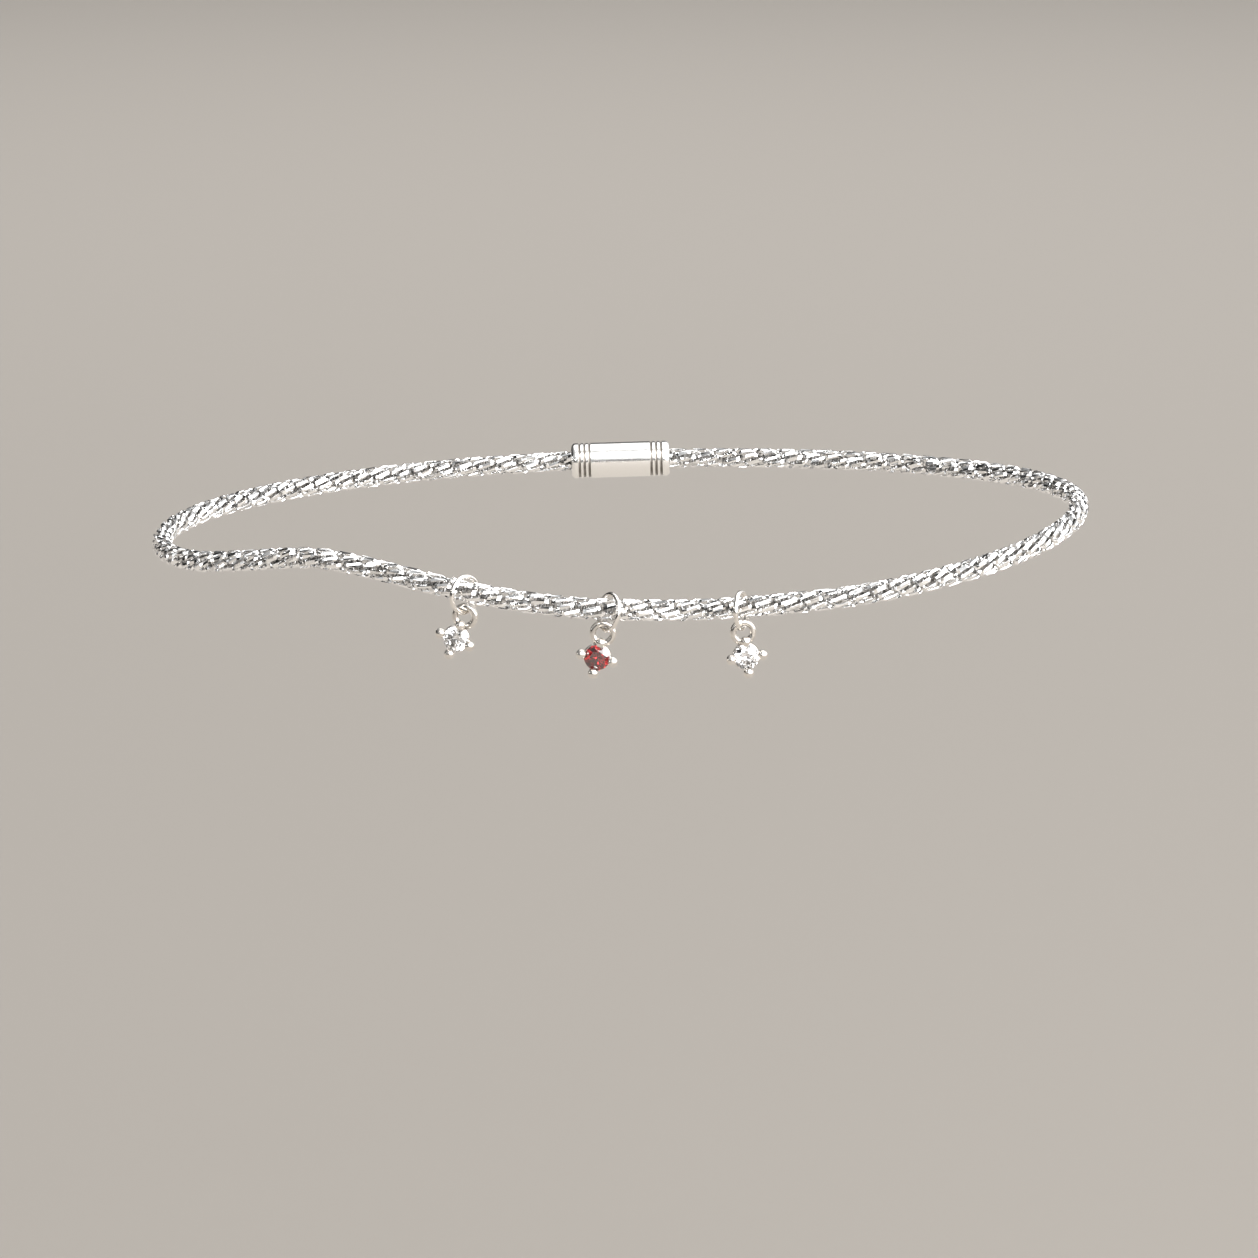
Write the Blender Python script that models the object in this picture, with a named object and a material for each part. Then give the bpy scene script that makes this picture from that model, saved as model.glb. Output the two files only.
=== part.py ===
"""Charm anklet: a fine silver sparkle chain, as worn, with three small stone drops on jump rings."""

import math
from collections import namedtuple

import bmesh
import bpy
import numpy as np
from mathutils import Matrix, Vector

MM = 0.001

# The chain's loop from above is an oval whose front lies towards -Y.
LOOP_HALF_WIDTH = 39.4 * MM
LOOP_HALF_DEPTH = 29.5 * MM

# Height of the chain round the loop: 0 degrees is its right end, 90 its front, 180 its left end.
Drape = namedtuple("Drape", "angle height")
DRAPE = (
    Drape(angle=0, height=2.6),
    Drape(angle=20, height=1.95),
    Drape(angle=40, height=0.8),
    Drape(angle=60, height=-0.4),
    Drape(angle=80, height=-0.9),
    Drape(angle=95, height=-0.75),
    Drape(angle=108, height=0.3),
    Drape(angle=119, height=1.7),
    Drape(angle=129, height=2.4),
    Drape(angle=141, height=1.1),
    Drape(angle=154, height=-0.15),
    Drape(angle=170, height=-0.75),
    Drape(angle=200, height=-0.4),
    Drape(angle=270, height=1.0),
    Drape(angle=340, height=2.5),
)
DRAPE_ROUNDING = 10.0  # degrees to either side over which a corner of the table is rounded
LOOP_STEPS = 1440

CHAIN_DIAMETER = 1.8 * MM
CHAIN_POINTS = 62
CHAIN_END_IN_CLASP = 2.0 * MM

CLASP_LENGTH = 9.0 * MM
CLASP_DIAMETER = 3.2 * MM
CLASP_BORE = 2.2 * MM
CLASP_BORE_DEPTH = 2.5 * MM
CLASP_EDGE = 0.4 * MM
CLASP_SIDES = 24

WIRE_SIDES = 6
RING_SEGMENTS = 20
JUMP_RING_RADIUS = 1.48 * MM  # to the middle of the wire, as all ring radii here
JUMP_RING_WIRE = 0.38 * MM
CHAIN_GAP = 0.11 * MM
EYE_GAP = 0.05 * MM

# The setting's own sizes are in millimetres: it is shaped at a thousand times its size.
EYE_RADIUS = 0.82
EYE_WIRE = 0.54
SETTING_DROP = 2.01  # from the middle of the eye down to the middle of the stone
SETTING_FORWARD = 0.3
PRONG_AZIMUTHS = (0, 90, 180, 270)  # round the stone, in degrees
PRONG_WIRE = 0.54
PRONG_SIDES = 10
PRONG_FOOT_RADIUS = 0.62
PRONG_FOOT_DEPTH = 0.85
PRONG_TOP_RADIUS = 1.26
PRONG_TOP_DEPTH = -0.15
PRONG_BEAD_RADIUS = 0.43
PRONG_BEAD_AT = 1.30
PRONG_BEAD_DEPTH = -0.20
GALLERY_RADIUS = 0.96
GALLERY_WIRE = 0.36
GALLERY_DEPTH = 0.25
BASE_RADIUS = 0.58
BASE_WIRE = 0.34

# Round brilliant stone: eight-fold, with facet angles measured from the girdle's plane.
STONE_RADIUS = 1.05
STONE_GIRDLE = 0.06
STONE_TABLE = 0.58  # of the radius
STONE_FOLD = 8
STONE_CLEARANCE = 0.05
CROWN_ANGLE = 34.5
UPPER_HALF_ANGLE = 41.5
STAR_ANGLE = 21.0
PAVILION_ANGLE = 40.8
LOWER_HALF_ANGLE = 42.2

# From the middle of a jump ring's wire to the middle of the eye's wire that hangs on it.
HANG = EYE_WIRE * MM / 2 + JUMP_RING_WIRE / 2 + EYE_GAP

# One row for each drop: where it hangs along the chain from the loop's front, the turn of its jump
# ring from square across the chain, how far the jump ring and the drop lean, and its stone.
Drop = namedtuple("Drop", "name along turn swing lean stone")
DROPS = (
    Drop(name="left", along=-12.7 * MM, turn=30, swing=0, lean=-21.5, stone="clear"),
    Drop(name="centre", along=-0.8 * MM, turn=-30, swing=-15, lean=-14, stone="red"),
    Drop(name="right", along=9.9 * MM, turn=30, swing=5, lean=6.5, stone="clear"),
)


def clear_scene():
    for obj in list(bpy.data.objects):
        bpy.data.objects.remove(obj, do_unlink=True)


def make_material(name, colour, metallic, roughness, transmission=0.0, ior=1.5):
    material = bpy.data.materials.new(name)
    material.use_nodes = True
    material.diffuse_color = (*colour, 1.0)
    shader = material.node_tree.nodes["Principled BSDF"]
    shader.inputs["Base Color"].default_value = (*colour, 1.0)
    shader.inputs["Metallic"].default_value = metallic
    shader.inputs["Roughness"].default_value = roughness
    shader.inputs["Transmission Weight"].default_value = transmission
    shader.inputs["IOR"].default_value = ior
    return material


def make_object(name, data, material, matrix=None, parent=None):
    """Links an object to the scene, placed by its own matrix or by its parent's."""
    obj = bpy.data.objects.new(name, data)
    bpy.context.scene.collection.objects.link(obj)
    if material and not data.materials:
        data.materials.append(material)
    if parent:
        obj.parent = parent
    if matrix:
        obj.matrix_local = matrix
    return obj


def finish_mesh(name, bm, sharp_angle=None):
    """Turns a bmesh into a mesh with its faces pointing out, shaded smooth where an angle is given."""
    bmesh.ops.recalc_face_normals(bm, faces=bm.faces)
    mesh = bpy.data.meshes.new(name)
    bm.to_mesh(mesh)
    bm.free()
    if sharp_angle:
        mesh.shade_smooth()
        mesh.set_sharp_from_angle(angle=math.radians(sharp_angle))
    return mesh


def drape_height(angle):
    """Height of the centre line: the table's straight runs with their corners rounded."""
    offsets = np.linspace(-DRAPE_ROUNDING, DRAPE_ROUNDING, 41)
    weights = 1 + np.cos(np.pi * offsets / DRAPE_ROUNDING)
    angles = [row.angle for row in DRAPE]
    heights = [row.height for row in DRAPE]
    nearby = np.interp(angle + offsets, angles, heights, period=360)
    return float(np.average(nearby, weights=weights)) * MM


def loop_point(angle):
    turned = math.radians(angle)
    return Vector(
        (
            LOOP_HALF_WIDTH * math.cos(turned),
            -LOOP_HALF_DEPTH * math.sin(turned),
            drape_height(angle),
        )
    )


def measure_loop():
    """Points once round the loop, from the back past the left to the front and on, and the
    distance of each along the chain from the front, which is under zero on the left."""
    points = [loop_point(270 - 360 * step / LOOP_STEPS) for step in range(LOOP_STEPS + 1)]
    run = [0.0]
    for before, after in zip(points, points[1:]):
        run.append(run[-1] + (after - before).length)
    front = run[LOOP_STEPS // 2]
    return np.array(points), np.array(run) - front


LOOP_POINTS, LOOP_RUN = measure_loop()


def chain_point(along):
    """The centre line at a distance from the front; past the back it carries on round."""
    length = LOOP_RUN[-1] - LOOP_RUN[0]
    wrapped = (along - LOOP_RUN[0]) % length + LOOP_RUN[0]
    return Vector([np.interp(wrapped, LOOP_RUN, LOOP_POINTS[:, axis]) for axis in range(3)])


def chain_frame(along, level=True):
    """A frame on the centre line: X along the chain to the right, Y into the loop, Z up."""
    step = 0.5 * MM
    forward = chain_point(along + step) - chain_point(along - step)
    if level:
        forward.z = 0
    forward.normalize()
    inward = Vector((0, 0, 1)).cross(forward).normalized()
    up = forward.cross(inward)
    turn = Matrix((forward, inward, up)).transposed().to_4x4()
    return Matrix.Translation(chain_point(along)) @ turn


def make_chain(silver):
    """The chain as one plain round strand, whose two ends lie in the clasp."""
    clasp_end = CLASP_LENGTH / 2 - CHAIN_END_IN_CLASP
    first = LOOP_RUN[0] + clasp_end
    last = LOOP_RUN[-1] - clasp_end
    curve = bpy.data.curves.new("chain", "CURVE")
    curve.dimensions = "3D"
    curve.bevel_depth = CHAIN_DIAMETER / 2
    curve.bevel_resolution = 2
    curve.use_fill_caps = True
    spline = curve.splines.new("POLY")
    spline.points.add(CHAIN_POINTS - 1)
    for point, along in zip(spline.points, np.linspace(first, last, CHAIN_POINTS)):
        point.co = (*chain_point(along), 1.0)
    return make_object("chain", curve, silver)


def make_clasp(silver):
    """A plain barrel at the back of the loop, bored at both ends for the chain."""
    half = CLASP_LENGTH / 2
    outer = CLASP_DIAMETER / 2
    bore = CLASP_BORE / 2
    floor = half - CLASP_BORE_DEPTH
    right_side = [(floor, 0.0), (floor, bore), (half, bore)]
    for degrees in (0, 30, 60, 90):
        turned = math.radians(degrees)
        x = half - CLASP_EDGE + CLASP_EDGE * math.cos(turned)
        radius = outer - CLASP_EDGE + CLASP_EDGE * math.sin(turned)
        right_side.append((x, radius))
    left_side = [(-x, radius) for x, radius in reversed(right_side)]
    bm = bmesh.new()
    verts = [bm.verts.new((x, 0, radius)) for x, radius in right_side + left_side]
    edges = [bm.edges.new(pair) for pair in zip(verts, verts[1:])]
    bmesh.ops.spin(
        bm,
        geom=verts + edges,
        cent=(0, 0, 0),
        axis=(1, 0, 0),
        angle=2 * math.pi,
        steps=CLASP_SIDES,
    )
    bmesh.ops.remove_doubles(bm, verts=bm.verts, dist=0.001 * MM)
    mesh = finish_mesh("clasp", bm, sharp_angle=40)
    place = chain_frame(LOOP_RUN[-1], level=False)
    mouths = [chain_point(LOOP_RUN[-1] + side) for side in (-half, half)]
    place.translation = (place.translation + (mouths[0] + mouths[1]) / 2) / 2
    return make_object("clasp", mesh, silver, place)


def add_ring(bm, radius, wire):
    """A round wire ring in the XZ plane, round the Y axis."""
    place = Matrix.Translation((radius, 0, 0))
    section = bmesh.ops.create_circle(bm, segments=WIRE_SIDES, radius=wire / 2, matrix=place)
    edges = list({edge for vert in section["verts"] for edge in vert.link_edges})
    bmesh.ops.spin(
        bm,
        geom=section["verts"] + edges,
        cent=(0, 0, 0),
        axis=(0, 1, 0),
        angle=2 * math.pi,
        steps=RING_SEGMENTS,
        use_merge=True,
    )
    bmesh.ops.recalc_face_normals(bm, faces=bm.faces)


def make_helper(name, bm):
    """A hidden object that only takes part in the Booleans."""
    bmesh.ops.recalc_face_normals(bm, faces=bm.faces)
    mesh = bpy.data.meshes.new(name)
    bm.to_mesh(mesh)
    bm.free()
    helper = make_object(name, mesh, None)
    helper.hide_render = True
    helper.display_type = "WIRE"
    return helper


Tier = namedtuple("Tier", "name count first angle radius height")


def brilliant_tiers(half_girdle):
    """The facets of a brilliant of radius 1, a row for each tier. Every facet of a tier passes
    through a point at this radius and height, and a tier under the girdle has an angle under zero."""
    crown_top = half_girdle + (1 - STONE_TABLE) * math.tan(math.radians(CROWN_ANGLE))
    main_step = 360 / STONE_FOLD
    half_step = main_step / 2
    chord = math.cos(math.radians(half_step / 2))
    star = STONE_TABLE * math.cos(math.radians(half_step))
    count = STONE_FOLD
    return (
        Tier("table", 1, 0, 0, 0, crown_top),
        Tier("crown mains", count, 0, CROWN_ANGLE, 1, half_girdle),
        Tier("upper halves", 2 * count, half_step / 2, UPPER_HALF_ANGLE, chord, half_girdle),
        Tier("stars", count, half_step, STAR_ANGLE, star, crown_top),
        Tier("pavilion mains", count, 0, -PAVILION_ANGLE, 1, -half_girdle),
        Tier("lower halves", 2 * count, half_step / 2, -LOWER_HALF_ANGLE, chord, -half_girdle),
    )


def cut_tier(bm, tier):
    for index in range(tier.count):
        azimuth = math.radians(tier.first + 360 * index / tier.count)
        outward = Vector((math.cos(azimuth), math.sin(azimuth), 0))
        tilt = math.radians(abs(tier.angle))
        rise = math.copysign(math.cos(tilt), tier.angle)
        cut = bmesh.ops.bisect_plane(
            bm,
            geom=bm.verts[:] + bm.edges[:] + bm.faces[:],
            dist=1e-5,
            plane_co=outward * tier.radius + Vector((0, 0, tier.height)),
            plane_no=outward * math.sin(tilt) + Vector((0, 0, rise)),
            clear_outer=True,
        )
        rim = [item for item in cut["geom_cut"] if isinstance(item, bmesh.types.BMEdge)]
        if len(rim) > 2:
            bmesh.ops.contextual_create(bm, geom=rim)


def brilliant(clearance=0.0):
    """A round brilliant in millimetres: table towards +Z, girdle round the origin. It is cut out of
    a 16-sided block of radius 1 and then brought to its size."""
    bm = bmesh.new()
    bmesh.ops.create_cone(
        bm, cap_ends=True, segments=2 * STONE_FOLD, radius1=1, radius2=1, depth=4
    )
    for tier in brilliant_tiers(STONE_GIRDLE / STONE_RADIUS / 2):
        cut_tier(bm, tier)
    bmesh.ops.remove_doubles(bm, verts=bm.verts, dist=1e-4)
    bmesh.ops.scale(bm, vec=Vector((1, 1, 1)) * (STONE_RADIUS + clearance), verts=bm.verts)
    return bm


STONE_PLACE = Matrix.Translation((0, -SETTING_FORWARD, -SETTING_DROP)) @ Matrix.Rotation(
    math.radians(90), 4, "X"
)


def prong_point(azimuth, radius, depth):
    """A point of the setting, at a radius from its middle and a depth behind the girdle."""
    turned = math.radians(azimuth)
    return Vector(
        (radius * math.cos(turned), depth - SETTING_FORWARD, radius * math.sin(turned) - SETTING_DROP)
    )


def prong_helper(azimuth):
    foot = prong_point(azimuth, PRONG_FOOT_RADIUS, PRONG_FOOT_DEPTH)
    top = prong_point(azimuth, PRONG_TOP_RADIUS, PRONG_TOP_DEPTH)
    run = top - foot
    place = Matrix.Translation((foot + top) / 2) @ run.to_track_quat("Z", "Y").to_matrix().to_4x4()
    bm = bmesh.new()
    bmesh.ops.create_cone(
        bm,
        cap_ends=True,
        segments=PRONG_SIDES,
        radius1=PRONG_WIRE / 2,
        radius2=PRONG_WIRE / 2,
        depth=run.length,
        matrix=place,
    )
    return make_helper(f"prong_wire_{azimuth}", bm)


def bead_helper(azimuth):
    place = Matrix.Translation(prong_point(azimuth, PRONG_BEAD_AT, PRONG_BEAD_DEPTH))
    upright = Matrix.Rotation(math.radians(90), 4, "X")
    bm = bmesh.new()
    bmesh.ops.create_uvsphere(
        bm, u_segments=PRONG_SIDES, v_segments=6, radius=PRONG_BEAD_RADIUS, matrix=place @ upright
    )
    return make_helper(f"prong_bead_{azimuth}", bm)


def ring_helper(name, radius, wire, depth):
    bm = bmesh.new()
    add_ring(bm, radius, wire)
    bmesh.ops.translate(bm, vec=(0, depth - SETTING_FORWARD, -SETTING_DROP), verts=bm.verts)
    return make_helper(name, bm)


def stone_cutter():
    bm = brilliant(STONE_CLEARANCE)
    bmesh.ops.transform(bm, matrix=STONE_PLACE, verts=bm.verts)
    return make_helper("stone_seat", bm)


def setting_mesh():
    """The eye, four prongs with their beads and two wire rings soldered into one piece, with the
    stone's seat cut out of it, worked out with Booleans and then brought down to its real size."""
    bm = bmesh.new()
    add_ring(bm, EYE_RADIUS, EYE_WIRE)
    eye = make_helper("eye", bm)
    helpers = [
        ring_helper("gallery_ring", GALLERY_RADIUS, GALLERY_WIRE, GALLERY_DEPTH),
        ring_helper("base_ring", BASE_RADIUS, BASE_WIRE, PRONG_FOOT_DEPTH),
    ]
    for azimuth in PRONG_AZIMUTHS:
        helpers.append(prong_helper(azimuth))
        helpers.append(bead_helper(azimuth))
    for helper in helpers:
        join = eye.modifiers.new(helper.name, "BOOLEAN")
        join.operation = "UNION"
        join.solver = "EXACT"
        join.object = helper
    seat = eye.modifiers.new("stone_seat", "BOOLEAN")
    seat.operation = "DIFFERENCE"
    seat.solver = "EXACT"
    seat.object = stone_cutter()
    bpy.context.view_layer.update()
    graph = bpy.context.evaluated_depsgraph_get()
    mesh = bpy.data.meshes.new_from_object(eye.evaluated_get(graph))
    mesh.name = "setting"
    mesh.transform(Matrix.Scale(MM, 4))
    mesh.shade_smooth()
    mesh.set_sharp_from_angle(angle=math.radians(40))
    for helper in [eye, *helpers, seat.object]:
        bpy.data.objects.remove(helper, do_unlink=True)
    return mesh


def stone_mesh(name):
    bm = brilliant()
    bmesh.ops.scale(bm, vec=Vector((MM, MM, MM)), verts=bm.verts)
    return finish_mesh(name, bm)


def lean_by(degrees):
    """Leans what hangs below, towards the right for more than zero."""
    return Matrix.Rotation(math.radians(-degrees), 4, "Y")


def make_jump_ring(drop, mesh, silver):
    """The ring round the chain that carries a drop, and the point at the middle of its lowest wire."""
    reach = (CHAIN_DIAMETER + JUMP_RING_WIRE) / 2 + CHAIN_GAP
    below = JUMP_RING_RADIUS - reach / math.cos(math.radians(drop.swing))
    hung = chain_frame(drop.along) @ lean_by(drop.swing)
    quarter = Matrix.Rotation(math.radians(90 - drop.turn), 4, "Z")
    place = hung @ Matrix.Translation((0, 0, -below)) @ quarter
    make_object(f"jump_ring_{drop.name}", mesh, silver, place)
    return hung @ Vector((0, 0, -below - JUMP_RING_RADIUS)), hung.to_3x3() @ Vector((0, 0, 1))


def make_drop(drop, meshes, materials):
    """One drop: its jump ring, and the setting with its stone on an empty at the eye's middle."""
    lowest, upward = make_jump_ring(drop, meshes["jump_ring"], materials["silver"])
    middle = lowest - upward * (EYE_RADIUS * MM - HANG)
    facing = chain_frame(drop.along).to_3x3().to_4x4()
    hanger = make_object(f"hanger_{drop.name}", None, None)
    hanger.matrix_world = Matrix.Translation(middle) @ facing @ lean_by(drop.lean)
    make_object(f"setting_{drop.name}", meshes["setting"], materials["silver"], parent=hanger)
    place = STONE_PLACE.copy()
    place.translation *= MM
    make_object(
        f"stone_{drop.name}", meshes[drop.stone], materials[drop.stone], place, parent=hanger
    )


def main():
    clear_scene()
    materials = {
        "silver": make_material("polished_silver", (0.93, 0.92, 0.90), 1.0, 0.16),
        "clear": make_material("clear_stone", (0.97, 0.98, 1.0), 0.0, 0.02, 1.0, 2.16),
        "red": make_material("red_stone", (0.50, 0.02, 0.03), 0.0, 0.02, 1.0, 2.16),
    }
    bm = bmesh.new()
    add_ring(bm, JUMP_RING_RADIUS, JUMP_RING_WIRE)
    meshes = {
        "jump_ring": finish_mesh("jump_ring", bm, sharp_angle=60),
        "setting": setting_mesh(),
        "clear": stone_mesh("clear_stone"),
        "red": stone_mesh("red_stone"),
    }
    make_chain(materials["silver"])
    make_clasp(materials["silver"])
    for drop in DROPS:
        make_drop(drop, meshes, materials)


main()
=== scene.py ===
"""Looks of the charm anklet: its sparkle links, rings, prong settings, stones, light and camera."""

import math
from collections import namedtuple

import bmesh
import bpy
import numpy as np
from mathutils import Matrix, Vector


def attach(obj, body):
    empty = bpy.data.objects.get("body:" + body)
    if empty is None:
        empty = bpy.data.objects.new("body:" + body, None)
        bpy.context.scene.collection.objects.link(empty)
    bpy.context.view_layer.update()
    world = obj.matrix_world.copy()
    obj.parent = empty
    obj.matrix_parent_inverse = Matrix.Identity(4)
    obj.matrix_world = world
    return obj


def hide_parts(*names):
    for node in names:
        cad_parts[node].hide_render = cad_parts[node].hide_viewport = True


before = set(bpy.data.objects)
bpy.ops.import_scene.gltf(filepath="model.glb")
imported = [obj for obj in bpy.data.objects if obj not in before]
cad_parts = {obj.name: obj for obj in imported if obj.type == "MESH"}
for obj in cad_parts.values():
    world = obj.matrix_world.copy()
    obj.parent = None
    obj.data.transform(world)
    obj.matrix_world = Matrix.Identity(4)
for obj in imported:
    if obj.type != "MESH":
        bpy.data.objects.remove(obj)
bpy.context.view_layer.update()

MM = 0.001

# The chain's loop, the jump rings and the drops lie where the frame has them.
LOOP_HALF_WIDTH = 39.4 * MM
LOOP_HALF_DEPTH = 29.5 * MM

# Heights of the chain's centre line in millimetres. The angle goes round the loop in degrees from
# its right end, by way of its front at 90.
Drape = namedtuple("Drape", "angle height")
DRAPE = (
    Drape(angle=0, height=2.6),
    Drape(angle=20, height=1.95),
    Drape(angle=40, height=0.8),
    Drape(angle=60, height=-0.4),
    Drape(angle=80, height=-0.9),
    Drape(angle=95, height=-0.75),
    Drape(angle=108, height=0.3),
    Drape(angle=119, height=1.7),
    Drape(angle=129, height=2.4),
    Drape(angle=141, height=1.1),
    Drape(angle=154, height=-0.15),
    Drape(angle=170, height=-0.75),
    Drape(angle=200, height=-0.4),
    Drape(angle=270, height=1.0),
    Drape(angle=340, height=2.5),
)
DRAPE_ROUNDING = 10.0  # degrees to either side over which a corner of the table is rounded
LOOP_STEPS = 1440

CHAIN_DIAMETER = 1.8 * MM
CHAIN_GAP = 0.11 * MM
JUMP_RING_RADIUS = 1.48 * MM
JUMP_RING_WIRE = 0.38 * MM
JUMP_RING_SLIT = 2.5  # degrees of the ring that its closed ends leave open
EYE_GAP = 0.05 * MM

# One link is a ring of flattened wire, nearly square with rounded corners, and wrung a little about
# the chain's axis so that its sides slant. Each is turned on from the last the other way, and passes
# through the next three, which makes slanting wires that wind round the chain as in a rope.
LINK_PITCH = 0.42 * MM
LINK_LENGTH = 1.47 * MM  # to the middle of the wire, as the width and the corners are
LINK_WIDTH = 1.62 * MM
LINK_CORNER = 0.34 * MM
LINK_WIRE_THICKNESS = 0.16 * MM
LINK_WIRE_BREADTH = 0.42 * MM
LINK_TURN = 37.5  # degrees from one link to the next
LINK_WRING = -20.0 / MM  # degrees for each metre along a link
LINK_LOOSENESS = 1.3  # degrees that a link may sit off its turn
LINK_CORNER_CUTS = 2
LINK_WIRE_SIDES = 6
LINK_SEED = 7

CLASP_LENGTH = 9.0 * MM
CLASP_DIAMETER = 3.2 * MM
CLASP_BORE = 2.2 * MM
CLASP_BORE_DEPTH = 2.5 * MM
CLASP_EDGE = 0.4 * MM
CLASP_GROOVE = 0.12 * MM
CLASP_GROOVE_COUNT = 3
CLASP_GROOVE_PITCH = 0.45 * MM
CLASP_GROOVE_START = 0.25 * MM  # from the rounded edge to the first groove
CLASP_SEGMENTS = 64
CHAIN_END_IN_CLASP = 2.0 * MM

# Sizes of the setting and its stone in millimetres.
EYE_RADIUS = 0.82
EYE_WIRE = 0.54
SETTING_DROP = 2.01
SETTING_FORWARD = 0.3
PRONG_AZIMUTHS = (0, 90, 180, 270)
PRONG_WIRE = 0.54
PRONG_FOOT_RADIUS = 0.62
PRONG_FOOT_DEPTH = 0.85
PRONG_TOP_RADIUS = 1.26
PRONG_TOP_DEPTH = -0.15
PRONG_BEAD_RADIUS = 0.43
PRONG_BEAD_AT = 1.30
PRONG_BEAD_DEPTH = -0.20
GALLERY_RADIUS = 0.96
GALLERY_WIRE = 0.36
GALLERY_DEPTH = 0.25
BASE_RADIUS = 0.58
BASE_WIRE = 0.34

STONE_RADIUS = 1.05
STONE_GIRDLE = 0.06
STONE_TABLE = 0.58
STONE_FOLD = 8
STONE_CLEARANCE = 0.05
CROWN_ANGLE = 34.5
UPPER_HALF_ANGLE = 41.5
STAR_ANGLE = 21.0
PAVILION_ANGLE = 40.8
LOWER_HALF_ANGLE = 42.2

HANG = EYE_WIRE * MM / 2 + JUMP_RING_WIRE / 2 + EYE_GAP  # from the jump ring's wire to the eye's

# A drop lies at a length along the chain from the loop's front. In degrees, its jump ring is turned
# about the upright and swings on the chain, and its setting leans from the upright.
Drop = namedtuple("Drop", "name along turn swing lean stone")
DROPS = (
    Drop(name="left", along=-12.7 * MM, turn=30, swing=0, lean=-21.5, stone="clear"),
    Drop(name="centre", along=-0.8 * MM, turn=-30, swing=-15, lean=-14, stone="red"),
    Drop(name="right", along=9.9 * MM, turn=30, swing=5, lean=6.5, stone="clear"),
)

# Counts of straight pieces round the rings, the prongs and their wires, and of rows in a bead.
RING_SEGMENTS = 64
JUMP_RING_SEGMENTS = 72
WIRE_SIDES = 20
SETTING_WIRE_SIDES = 16
PRONG_SIDES = 24
BEAD_ROWS = 16
MELT_SIZE = 0.04  # millimetres from point to point of the casting before it is made lighter
MELT_KEPT = 0.4  # share of the casting's faces that is left
SHARP_ANGLE = 40  # degrees between faces over which an edge stays sharp
RING_SHARP_ANGLE = 60

# How much rougher silver is in its scratches, where it is tarnished and where shade is painted on it,
# and on its dullest facets.
SCRATCH_ROUGHNESS = 0.12
TARNISH_AND_SHADE_ROUGHNESS = 0.25
FACET_ROUGHNESS = 0.10
SCRATCH_DEPTH = 0.0015 * MM
POLISH_SCALE = 2400.0
STONE_INDEX = 2.16  # of refraction
STONE_CLOUD = 0.86  # a stone's colour in its cloudiest places, as a share of its own

IMAGE_SIZE = 1258
LOOP_LEFT_PIXEL = 163
LOOP_RIGHT_PIXEL = 1077
FRAME_MIDDLE_PIXEL = (620, 531)  # where the photo shows the frame's origin
CAMERA_ELEVATION = 12  # degrees
CAMERA_DISTANCE = 0.450

FLOOR_LEVEL = -0.075
FLOOR_HALF_SIZE = 6
FLOOR_SEEN = (0.185, 0.169, 0.15, 1.0)
FLOOR_MIRRORED = (0.28, 0.258, 0.232, 1.0)
BACKDROP_SEEN = (0.52, 0.49, 0.45, 1.0)
WHITE = (1.0, 1.0, 1.0, 1.0)

# Shades of the room from straight down, at 0, to straight up, at 1.
RoomShade = namedtuple("RoomShade", "at shade")
ROOM_SHADES = (
    RoomShade(at=0.0, shade=0.3),
    RoomShade(at=0.50, shade=0.09),
    RoomShade(at=0.70, shade=0.07),
    RoomShade(at=0.82, shade=0.80),
    RoomShade(at=1.0, shade=0.95),
)
ROOM_MIDDLE = 0.85  # what the shades are multiplied by straight ahead and behind
ROOM_TILT = 0.7  # how much that rises to the right, and falls to the left
ROOM_GLOW = 2.0  # light that the right side adds


def add_object(name, data):
    made = bpy.data.objects.new(name, data)
    bpy.context.scene.collection.objects.link(made)
    return made


def make_camera():
    """A long lens a little above the loop, as the photo looks at it."""
    elevation = math.radians(CAMERA_ELEVATION)
    distance = CAMERA_DISTANCE
    focal_pixels = (LOOP_RIGHT_PIXEL - LOOP_LEFT_PIXEL) / 2 / LOOP_HALF_WIDTH * distance
    forward = Vector((0, math.cos(elevation), -math.sin(elevation)))
    right = Vector((1, 0, 0))
    up = Vector((0, math.sin(elevation), math.cos(elevation)))
    aside = (FRAME_MIDDLE_PIXEL[0] - IMAGE_SIZE / 2) / focal_pixels * distance
    above = -(FRAME_MIDDLE_PIXEL[1] - IMAGE_SIZE / 2) / focal_pixels * distance
    data = bpy.data.cameras.new("camera")
    data.sensor_fit = "HORIZONTAL"
    data.sensor_width = 36
    data.lens = focal_pixels / IMAGE_SIZE * data.sensor_width
    data.clip_start = 0.01
    data.clip_end = 20
    camera = add_object("camera", data)
    place = Matrix((right, up, -forward)).transposed().to_4x4()
    place.translation = -forward * distance - right * aside - up * above
    camera.matrix_world = place
    bpy.context.scene.camera = camera


def drape_height(angle):
    """Height of the centre line: the table's straight runs with their corners rounded."""
    offsets = np.linspace(-DRAPE_ROUNDING, DRAPE_ROUNDING, 41)
    weights = 1 + np.cos(np.pi * offsets / DRAPE_ROUNDING)
    angles = [row.angle for row in DRAPE]
    heights = [row.height for row in DRAPE]
    nearby = np.interp(angle + offsets, angles, heights, period=360)
    return float(np.average(nearby, weights=weights)) * MM


def loop_point(angle):
    turned = math.radians(angle)
    return Vector(
        (
            LOOP_HALF_WIDTH * math.cos(turned),
            -LOOP_HALF_DEPTH * math.sin(turned),
            drape_height(angle),
        )
    )


def measure_loop():
    """Points once round the loop from its back, and how far each lies along the chain from the
    loop's front, which is under zero on the left."""
    points = [loop_point(270 - 360 * step / LOOP_STEPS) for step in range(LOOP_STEPS + 1)]
    run = [0.0]
    for before, after in zip(points, points[1:]):
        run.append(run[-1] + (after - before).length)
    return np.array(points), np.array(run) - run[LOOP_STEPS // 2]


LOOP_POINTS, LOOP_RUN = measure_loop()


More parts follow.
